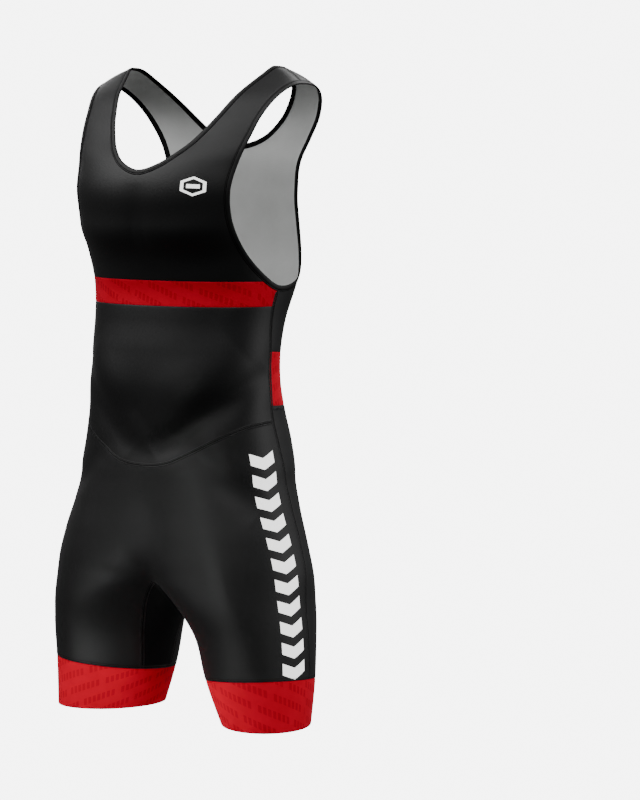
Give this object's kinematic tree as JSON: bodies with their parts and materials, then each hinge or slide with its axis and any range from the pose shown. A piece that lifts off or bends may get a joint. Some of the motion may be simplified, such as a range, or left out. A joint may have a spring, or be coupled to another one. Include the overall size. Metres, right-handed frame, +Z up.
{
  "type": "wrestling singlet",
  "caption": "Close-fitting one-piece wrestling suit with shoulder straps, a round neck, deep armholes and mid-thigh legs with plain cuffs.",
  "frame": {"origin": "in the middle between the two shoulder straps, level with their tops, where the wearer's shoulders hold the garment", "axes": "+Z up, the front of the garment faces -Y, the wearer's left is +X"},
  "size_m": [0.387, 0.224, 0.8494],
  "materials": {
    "black_knit": "satin",
    "black_shorts": "satin",
    "red_knit": "satin",
    "black_binding": "satin"
  },
  "bodies": {
    "root": {"front_upper": "black_knit", "chest_band": "red_knit", "front_belly": "black_knit", "shorts_front": "black_shorts", "back_upper": "black_knit", "back_band": "red_knit", "shorts_back": "black_shorts", "crotch_gusset": "black_shorts", "hem_band_left": "red_knit", "hem_band_right": "red_knit", "neck_binding": "black_binding", "armhole_binding_left": "black_binding", "armhole_binding_right": "black_binding"}
  },
  "joints": []
}
